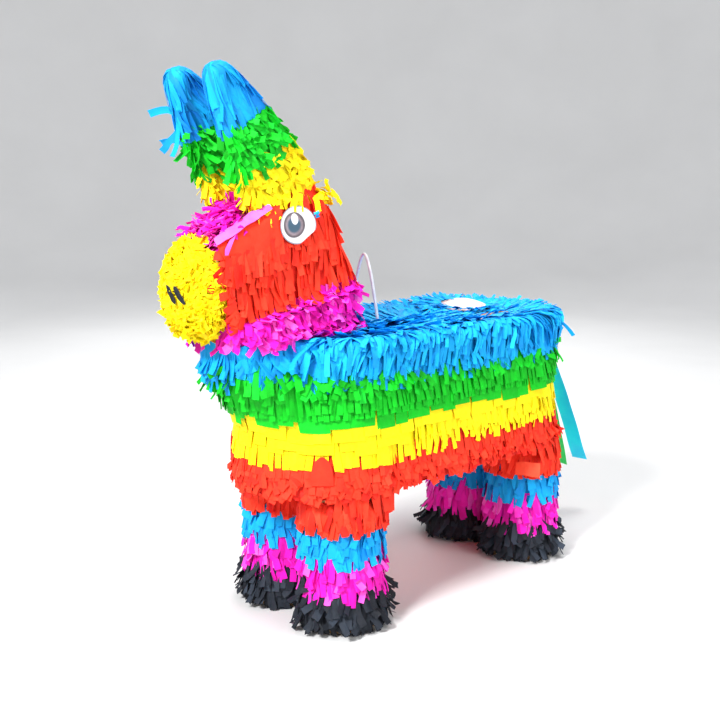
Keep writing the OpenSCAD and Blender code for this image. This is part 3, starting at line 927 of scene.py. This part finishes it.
# Two slanted nostril bars on the front of the tufts
nostrils = Fringe("nostril_bars", "black", ["nostril_labels"])
for x in (1.5, 9.0):
    grid = []
    for i in range(13):
        share = i / 12
        half = 2.0 * math.sqrt(max(0.04, 1 - (2 * share - 1) ** 4))
        line = []
        for j in (-1, -0.5, 0, 0.5, 1):
            foot = Vector((x + 7.5 * share + j * half * 0.85, 0, 320 - 13 * share + j * half * 0.5)) * MM
            hit, out, _, _ = dome.ray_cast(foot + Vector((0, -0.4, 0)), Vector((0, 1, 0)), 0.4)
            line.append(hit + out * (5.6 - 0.6 * j * j) * MM)
        grid.append(line[::-1])
    nostrils.sheet(grid, 0.2)

# The bridge: a heap of thin crumpled strips between smooth light strips along its edges
bridge = covering("pink_bridge_strips", "pink", "bridge_pink_fringe", [head_skin], HEAD_PRESS)
bridge_style = Style(length=(14, 26), width=(2.4, 4.6), droop=0.1, wander=0.25, lean=0.5, curl=0.3, kink=0.9,
                     fold=0.8, twist=0.5, cling=0.3, tone=(0.0, 1.0), wild=0.04)
BRIDGE_FRONT = bridge_lo.y + 9 * MM
for i in range(520):
    flat = Vector((rng.gauss(0, 0.42) * HEAD_X, rng.uniform(BRIDGE_FRONT, bridge_hi.y + 14 * MM), 0))
    heap = 1 - (flat.x / HEAD_X) ** 2
    hit, out, _, _ = head_skin.ray_cast(flat + UP * 0.5, DOWN, 0.4)
    if hit is None or heap < 0 or hit.z < bridge_lo.z or hit.z > bridge_hi.z + 8 * MM or out.z < 0.4:
        continue
    rise = rng.uniform(-2, 11 * heap)
    ahead = Vector((rng.gauss(0, 0.5) + flat.x * 6, -1 + rng.gauss(0, 0.6), -0.3))
    room = (flat.y - BRIDGE_FRONT) / MM
    longest = min(26, 13 + 0.6 * room)
    style = bridge_style.but(low=rise, high=rise + 0.5, length=(0.6 * longest, longest))
    lay_strip(bridge, [head_skin], hit + out * rise * MM, out, ahead, style)
guide = [[(27, -262, 357), (28, -240, 372), (28, -214, 384)],
         [(33.5, -268, 358.5), (34.5, -246, 370), (35.5, -214, 386)],
         [(38.6, -268, 353), (39.6, -246, 365), (40, -214, 381)]]
bent_sheet(bridge, in_metres(guide), 1.0, size=(18, 6), crumple=1.4 * MM)
guide = [[(38.8, -257, 357), (39.2, -251, 361)], [(39.8, -262, 350), (40, -257, 351)],
         [(39.2, -262, 345), (39.4, -259, 345)]]
bent_sheet(bridge, in_metres(guide), 1.0, size=(4, 8), crumple=0.6 * MM)

# ---------------------------------------------------------------- ears and crown

EAR_TURN = math.radians(34.9)        # how far the ears lean forwards
EAR_UP = Vector((0, -math.sin(EAR_TURN), math.cos(EAR_TURN)))
EAR_LENGTH = 134 * MM
crown = covering("yellow_crown_strips", "yellow", "crown_yellow_fringe", [ear_skin, head_skin], 2.6 * MM)
ear_green = covering("green_ear_strips", "green", "ear_green_fringes", [ear_skin], 2.6 * MM)
ear_blue = covering("blue_ear_strips", "blue", "ear_blue_fringes", [ear_skin], -1.0 * MM)
ear_plain = Style(length=(28, 36), width=(4.6, 6.4), low=1.0, high=2.2, droop=0.7, wander=0.12, lean=0.12,
                  sway=0.3, kink=0.2, cling=0.5, pull=-EAR_UP, tone=(0.0, 0.6))
ear_messy = ear_plain.but(length=(18, 28), low=-3.0, high=2.0, wander=0.26, lean=0.4, sway=0.5, curl=0.4,
                          kink=0.9, wild=0.12, cling=0.35, width=(4.4, 6.6), tone=(0.0, 0.95))
ear_fuzzy = ear_messy.but(length=(14, 23), width=(3.6, 6.0), high=1.6, curl=0.25, kink=0.7, wild=0.04,
                          pull=DOWN, cling=0.4, tone=(0.1, 0.95))
ear_stray = ear_plain.but(length=(24, 32), high=6.0, curl=1.2, kink=0.8, cling=0.0, lean=0.5)


def ear_axis(side):
    """Tip of an ear's card, and the middle of its root."""
    card = nodes[f"{side}_ear_card"].data
    tip = max((v.co for v in card.vertices), key=lambda co: co.dot(EAR_UP)).copy()
    tip.x = box_middle(f"{side}_ear_card").x
    return tip, tip - EAR_UP * EAR_LENGTH


def ear_row(fringe, side, along, style, pitch):
    """A ring of strips round an ear, at a distance along it from the root, heading for the root."""
    tip, root = ear_axis(side)
    level = Matrix.Translation(root + EAR_UP * along) @ Matrix.Rotation(EAR_TURN, 4, "X")
    seeds = around(ear_skin, level, 18 * MM, -18 * MM, 18 * MM, pitch * MM, 120)
    seeds = [(p, n) for p, n in seeds if abs(p.x - root.x) < 12 * MM]
    lay_row(fringe, [ear_skin, head_skin], seeds, style, ahead=-EAR_UP)


for side in ("left", "right"):
    tip, root = ear_axis(side)
    turn = Matrix.Rotation(EAR_TURN, 3, "X")
    for i in range(44):
        way = turn @ Vector((*circle(i, 22), 0))
        lay_strip(ear_blue, [ear_skin], tip + EAR_UP * 3 * MM, EAR_UP, way, ear_plain.but(length=(34, 42)))
    for fringe, style, pitch, places in ((ear_blue, ear_plain, 4.2, (115, 122, 128)),
                                         (ear_green, ear_messy, 4.2, range(64, 101, 6)),
                                         (crown, ear_fuzzy, 4.0, range(24, 61, 6))):
        for along in places:
            ear_row(fringe, side, along * MM, style, pitch)

# A few blue strays ahead of the far ear
tip, root = ear_axis("right")
for along, way in ((112, (-0.2, -1, 0.35)), (104, (-0.4, -1, -0.9)), (98, (-0.5, -1, -0.7)),
                   (80, (-0.3, -1, -0.2))):
    place = root + EAR_UP * along * MM
    near, out, _ = nearest([ear_skin], place + Vector((0, -30, -20)) * MM)
    lay_strip(ear_blue, [ear_skin], near, out, Vector(way), ear_stray)

# The crown between the ears, and its lower edge over the head
crown_lo, crown_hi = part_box("crown_strip")
for i in range(260):
    flat = Vector((rng.uniform(-HEAD_X, HEAD_X), rng.uniform(crown_lo.y - 4 * MM, crown_hi.y + 3 * MM), 0))
    hit, out, _, _ = head_skin.ray_cast(flat + UP * 0.5, DOWN, 0.3)
    if hit is None or hit.z > crown_hi.z + 12 * MM:
        continue
    ahead = Vector((flat.x * 20, rng.gauss(0, 0.6) + 10 * (flat.y - crown_lo.y), 0))
    rise = rng.uniform(0, 9)
    style = ear_fuzzy.but(low=rise, high=rise + 1, length=(12, 18))
    lay_strip(crown, [head_skin], hit + out * rise * MM, out, ahead, style)

for fringe in (red_body, yellow_body, green_body, neck_blue, back_blue, back_top, flap_blue, black_hooves,
               red_legs, collar, red_head, muzzle, nostrils, bridge, crown, ear_green):
    fringe.build()

# ---------------------------------------------------------------- ribbons of the tail


def ribbon_material(name, colour, dark):
    """Smooth crepe ribbon with fine cross ribs. The faint glow stands in for light through the paper."""
    m = Material("ribbon_" + name)
    ribs = m.wave("Z", 260.0, 1.5, Detail=2.0)
    m.bump(m.math("ADD", m.math("MULTIPLY", ribs, 0.4), m.noise(130.0, 4.0)), 0.3, 0.5 * MM)
    shade = m.ramp(m.noise(30.0, 3.0), [(0.3, dark), (0.6, colour)])
    m.set(Base_Color=shade, Roughness=0.5, Emission_Color=shade, Emission_Strength=0.3)
    return m.material


RIBBONS = [
    # name, usual shade, deep shade, bow in mm, sideways twist
    ("blue", srgb(0, 205, 240), srgb(0, 186, 228), 3, 0.1),
    ("green", srgb(0, 214, 84), srgb(0, 184, 64), 4, -0.2),
    ("red", srgb(255, 40, 76), srgb(238, 10, 50), 8, 0.5),
]


def tail_ribbon(name, colour, dark, bow, twist):
    """A ribbon that hangs in a shallow bow along its CAD streamer."""
    lo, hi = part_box(f"tail_{name}_streamer")
    width = hi.x - lo.x
    top = Vector(((lo.x + hi.x) / 2, lo.y, hi.z))
    end = Vector((top.x, hi.y, lo.z))
    out = Vector((0, end.z - top.z, -(end.y - top.y))).normalized() * -1
    fringe = Fringe(f"tail_{name}_ribbon", "red", [f"tail_{name}_streamer"], body="tail")
    grid = []
    steps = 28
    for i in range(steps + 1):
        share = i / steps
        place = top.lerp(end, share) + out * bow * MM * math.sin(math.pi * share)
        place = place - Vector((0, 4 * MM * share, 0))
        place += out * 1.2 * MM * noise.noise(Vector((bow, share * 5, 0)))
        side = Matrix.Rotation(twist * share ** 2, 3, "Z") @ Vector((1, 0, 0))
        grid.append([place + side * width * (j / 4 - 0.5) for j in range(5)])
    fringe.sheet(grid, 0.5)
    piece = fringe.build()
    piece.data.materials[0] = ribbon_material(name, colour, dark)
    grid = np.array(grid, float)


for ribbon in RIBBONS:
    tail_ribbon(*ribbon)

# ---------------------------------------------------------------- eyes and label

EYE_HALF = Vector((19.6, 16.2)) * MM     # half sizes along y and z


def printed_sheet(name, grid, node, body="donkey"):
    """A sheet of printed card."""
    fringe = Fringe(name, "black", [node], body)
    fringe.sheet(grid, 0.5)
    piece = fringe.build()
    return piece


def eye_sheet(side):
    """An oval sticker, cut straight at its lower rear, that stands a little off the strips."""
    grid = []
    for i in range(13):
        ring = i / 12
        line = []
        for j in range(49):
            angle = 2 * math.pi * j / 48
            y, z = math.cos(angle), math.sin(angle)
            cut = max(0.0, (0.66 * y - 0.75 * z) - 0.84)
            y, z = y - 0.66 * cut, z + 0.75 * cut
            bend = 0.8 * math.cos(2 * angle) * ring ** 2 - 1.0 * ring ** 2
            line.append(Vector((side * (HEAD_X + (4.2 + bend) * MM), eye_mid.y + ring * y * EYE_HALF.x,
                                eye_mid.z + ring * z * EYE_HALF.y)))
        grid.append(line[::-side])
    return grid


def disc_grid(middle, radius, tilt):
    """A round sheet of paper with a slight wave, tilted about the x axis and y axis."""
    grid = []
    for i in range(11):
        ring = i / 10
        line = []
        for j in range(49):
            angle = 2 * math.pi * j / 48
            x, y = ring * radius * math.cos(angle), ring * radius * math.sin(angle)
            wave = 0.9 * MM * ring ** 2 * math.sin(3 * angle + 1)
            line.append(middle + Vector((x, y, wave - tilt[0] * x + tilt[1] * y)))
        grid.append(line)
    return grid


eyes = [printed_sheet("left_eye", eye_sheet(1), "left_eye_label"),
        printed_sheet("right_eye", eye_sheet(-1), "right_eye_label")]
label_piece = printed_sheet("flap_sticker", disc_grid(label_mid + UP * 2.4 * MM, LABEL_R, (0.08, 0.09)),
                            "flap_label", "fill_flap")

# A small blue scrap behind each eye
for side in (1, -1):
    for turn in (0.2, -0.5):
        start = Vector((side * (HEAD_X + 3 * MM), eye_mid.y + 18 * MM, eye_mid.z + 9 * MM))
        scrap = fine.but(length=(5, 8), width=(2, 3), low=3.0, high=5.0, kink=1.0, wild=0.0)
        lay_strip(ear_blue, [head_skin], start, Vector((side, 0, 0)), Vector((0, 1, turn)), scrap)
ear_blue.build()

# ---------------------------------------------------------------- hanging loop

loop_lo, loop_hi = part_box("hanging_loop")
LOOP_R = 1.7 * MM


def loop_line():
    """A pointed arch of stiff cord between the two holes in the back."""
    half = (loop_hi.x - loop_lo.x) / 2 - 2 * MM
    height = loop_hi.z - loop_lo.z - 4 * MM
    y = (loop_lo.y + loop_hi.y) / 2
    line = []
    for i in range(61):
        angle = math.pi * i / 60
        x = half * math.copysign(abs(math.cos(angle)) ** 0.75, math.cos(angle))
        rise = height * (1 - abs(x / half) ** 1.7)
        line.append(Vector((x, y, loop_lo.z + 2 * MM + rise)))
    return line


def tube(name, line, radius, flat=1.0, sides=10):
    """A closed tube along a line; flat squeezes it across."""
    bm = bmesh.new()
    rings = []
    for i, place in enumerate(line):
        along = (line[min(i + 1, len(line) - 1)] - line[max(i - 1, 0)]).normalized()
        side = Vector((0, 1, 0))
        other = along.cross(side).normalized()
        rings.append([bm.verts.new(place + side * radius * x + other * radius * flat * y)
                      for x, y in (circle(k, sides) for k in range(sides))])
    for a, b in zip(rings, rings[1:]):
        for k in range(sides):
            n = (k + 1) % sides
            bm.faces.new((a[k], a[n], b[n], b[k]))
    bm.faces.new(rings[0][::-1])
    bm.faces.new(rings[-1])
    bmesh.ops.recalc_face_normals(bm, faces=bm.faces)
    mesh = mesh_from(bm, name)
    mesh.shade_smooth()
    return new_object(name, mesh)


loop_material = Material("loop_plastic")
loop_material.bump(loop_material.wave("DIAGONAL", 420.0, 0.6), 0.5, 0.3 * MM)
whites = [(0.3, srgb(226, 224, 232)), (0.7, srgb(250, 249, 252))]
loop_material.set(Base_Color=loop_material.ramp(loop_material.noise(200.0), whites), Roughness=0.42)
loop_piece = tube("hanging_cord", loop_line(), LOOP_R, 0.7)
loop_piece.data.materials.append(loop_material.material)
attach(loop_piece, "hanging_loop")
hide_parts("hanging_loop")

# ---------------------------------------------------------------- card, labels and staple


def card_material():
    """Kraft card with flutes that show faintly, fibres and flecks."""
    m = Material("card")
    flutes = m.math("MULTIPLY", m.wave("Y", 70.0, 0.4), 0.5)
    fibre = m.noise(620.0, 4.0, 0.7)
    m.bump(m.math("ADD", flutes, m.math("MULTIPLY", fibre, 0.6)), 0.3, 0.5 * MM)
    base = m.ramp(m.noise(24.0, 4.0), [(0.3, srgb(164, 126, 84)), (0.7, srgb(192, 154, 108))])
    fleck = m.ramp(fibre, [(0.34, srgb(116, 84, 52)), (0.46, srgb(255, 255, 255))])
    m.set(Base_Color=m.mix(0.7, base, fleck, "MULTIPLY"), Roughness=0.88)
    return m.material


ENDLESS = 1000                       # half size along an axis that doesn't count


def distance(m, middle, sizes, turn=0.0):
    """How far a point is from middle, as a share of an ellipse with these half sizes."""
    mapping = m.add("ShaderNodeMapping", {"vector_type": "TEXTURE"}, Vector=m.place, Location=middle,
                    Rotation=(turn, 0, 0), Scale=sizes)
    return m.add("ShaderNodeVectorMath", {"operation": "LENGTH"}, Vector=mapping.outputs[0]).outputs["Value"]


def inside(m, far, edge):
    """1 inside an ellipse and 0 outside, with a soft edge."""
    node = m.add("ShaderNodeMapRange", {"interpolation_type": "SMOOTHSTEP"}, Value=far)
    for name, value in (("From Min", 1 - edge), ("From Max", 1 + edge), ("To Min", 1.0), ("To Max", 0.0)):
        node.inputs[name].default_value = value
    return node.outputs["Result"]


def eye_material():
    """A printed cartoon eye: white, a grey iris with a darker rim, a blue-grey pupil and a highlight."""
    m = Material("eye_print")
    eye = Vector((0, eye_mid.y, eye_mid.z))
    iris_mid = eye + Vector((0, -4.6, 0.2)) * MM
    white = m.ramp(m.noise(60.0), [(0.3, srgb(238, 238, 244)), (0.7, srgb(255, 255, 255))])
    iris = m.ramp(m.noise(160.0), [(0.3, srgb(128, 112, 120)), (0.7, srgb(172, 156, 164))])
    iris_far = distance(m, iris_mid, (ENDLESS, 11.6 * MM, 10.8 * MM))
    rim = m.ramp(iris_far, [(0.0, grey(1)), (0.72, grey(1)), (0.9, grey(0.32)), (1.0, grey(0.32))])
    colour = m.mix(inside(m, iris_far, 0.06), white, m.mix(1.0, iris, rim, "MULTIPLY"))
    pupil_far = distance(m, iris_mid + Vector((0, -0.3, 0)) * MM, (ENDLESS, 7.0 * MM, 6.6 * MM))
    colour = m.mix(inside(m, pupil_far, 0.2), colour, srgb(64, 92, 112))
    light_far = distance(m, iris_mid + Vector((0, 0.4, 5.0)) * MM, (ENDLESS, 3.6 * MM, 4.6 * MM), 0.2)
    colour = m.mix(inside(m, light_far, 0.12), colour, srgb(252, 250, 255))
    edge_far = distance(m, eye, (ENDLESS, EYE_HALF.x - 1 * MM, EYE_HALF.y - 1 * MM))
    colour = m.mix(inside(m, edge_far, 0.04), srgb(150, 150, 162), colour)
    m.bump(m.noise(700.0, 3.0), 0.12, 0.2 * MM)
    m.set(Base_Color=colour, Roughness=0.35)
    return m.material


def label_material():
    """White paper with faint printed rings."""
    m = Material("label_paper")
    far = distance(m, (label_mid.x, label_mid.y, 0), (LABEL_R, LABEL_R, ENDLESS))
    paper, red, faint = srgb(228, 212, 204), srgb(206, 96, 96), srgb(218, 160, 154)
    rings = m.ramp(far, [(0.0, paper), (0.30, faint), (0.34, paper), (0.62, paper), (0.66, faint),
                         (0.72, faint), (0.76, paper), (0.90, red), (0.93, paper)])
    m.set(Base_Color=m.mix(m.math("MULTIPLY", m.noise(420.0, 3.0), 0.6), rings, paper), Roughness=0.6)
    m.bump(m.noise(500.0, 4.0), 0.15, 0.3 * MM)
    return m.material


def worn_material(name, colour, dark, roughness, scale, metallic=0.0):
    m = Material(name)
    grain = m.noise(scale, 4.0, 0.6)
    m.bump(grain, 0.2, 0.3 * MM)
    m.set(Base_Color=m.ramp(grain, [(0.3, dark), (0.7, colour)]), Roughness=roughness, Metallic=metallic)
    return m.material


card = card_material()
tape = worn_material("hinge_tape", srgb(206, 172, 122), srgb(186, 150, 102), 0.45, 300.0)
wire = worn_material("staple_wire", srgb(200, 202, 208), srgb(150, 152, 160), 0.28, 900.0, 1.0)
finishes = {"flap_label": label_material(), "left_eye_label": eye_material(), "flap_hinge_tape": tape,
            "tail_staple": wire}
finishes["right_eye_label"] = finishes["left_eye_label"]
label_piece.data.materials[0] = finishes["flap_label"]
for eye in eyes:
    eye.data.materials[0] = finishes["left_eye_label"]
for name, node in nodes.items():
    node.data.materials.clear()
    node.data.materials.append(finishes.get(name, card))

# ---------------------------------------------------------------- camera, light and floor

scene = bpy.context.scene
scene.view_settings.view_transform = "Standard"
CAMERA_PLACE = (0.698, -0.7314, 0.400)
CAMERA_HEADING = Vector((-0.730, 0.684, 0))
CAMERA_PITCH = math.radians(9.9)     # how far it looks down
camera = new_object("camera", bpy.data.cameras.new("camera"))
camera.data.lens = 50
camera.location = CAMERA_PLACE
look = CAMERA_HEADING.normalized() * math.cos(CAMERA_PITCH) + DOWN * math.sin(CAMERA_PITCH)
camera.rotation_mode = "QUATERNION"
camera.rotation_quaternion = look.to_track_quat("-Z", "Y")
scene.camera = camera
LIT_POINT = Vector((0, 0, 0.22))     # the lights point here


def softbox(name, place, size, power):
    """A round soft light that points at the donkey."""
    lamp = bpy.data.lights.new(name, "AREA")
    lamp.shape = "DISK"
    lamp.size = size
    lamp.energy = power
    light = new_object(name, lamp)
    light.location = place
    light.rotation_mode = "QUATERNION"
    light.rotation_quaternion = (LIT_POINT - Vector(place)).to_track_quat("-Z", "Y")


softbox("key", (0.35, -1.5, 1.35), 0.42, 46)
softbox("fill", (1.9, 0.2, 1.1), 1.2, 19)
softbox("top", (0.1, 0.2, 2.2), 0.8, 22)
softbox("rear", (-1.5, 1.2, 1.2), 1.2, 14)

world = bpy.data.worlds.new("world")
scene.world = world
world.use_nodes = True
sky = world.node_tree.nodes["Background"].inputs
sky["Color"].default_value = (0.92, 0.95, 1.0, 1)
sky["Strength"].default_value = 0.42


def studio_floor():
    """A pale floor that curves up into a wall all the way round."""
    flat_r, bend_r, wall_top, spokes = 2.2, 1.4, 4.0, 96
    profile = [(0.0, 0.0), (flat_r, 0.0)]
    for a in range(10, 91, 10):
        bend = math.radians(a)
        profile.append((flat_r + bend_r * math.sin(bend), bend_r - bend_r * math.cos(bend)))
    profile.append((flat_r + bend_r, wall_top))
    bm = bmesh.new()
    rings = [[bm.verts.new((0, 0, 0))]]
    for r, z in profile[1:]:
        rings.append([bm.verts.new((r * x, r * y, z))
                      for x, y in (circle(i, spokes) for i in range(spokes))])
    for inner, outer in zip(rings, rings[1:]):
        for i in range(spokes):
            j = (i + 1) % spokes
            quad = [inner[i % len(inner)], outer[i], outer[j], inner[j % len(inner)]]
            bm.faces.new(quad if len(inner) > 1 else quad[:3])
    mesh = mesh_from(bm, "floor")
    mesh.shade_smooth()
    m = Material("floor")
    m.set(Base_Color=m.ramp(m.noise(3.0), [(0.3, grey(0.74)), (0.7, grey(0.78))]), Roughness=0.9)
    mesh.materials.append(m.material)
    return new_object("floor", mesh)


studio_floor()
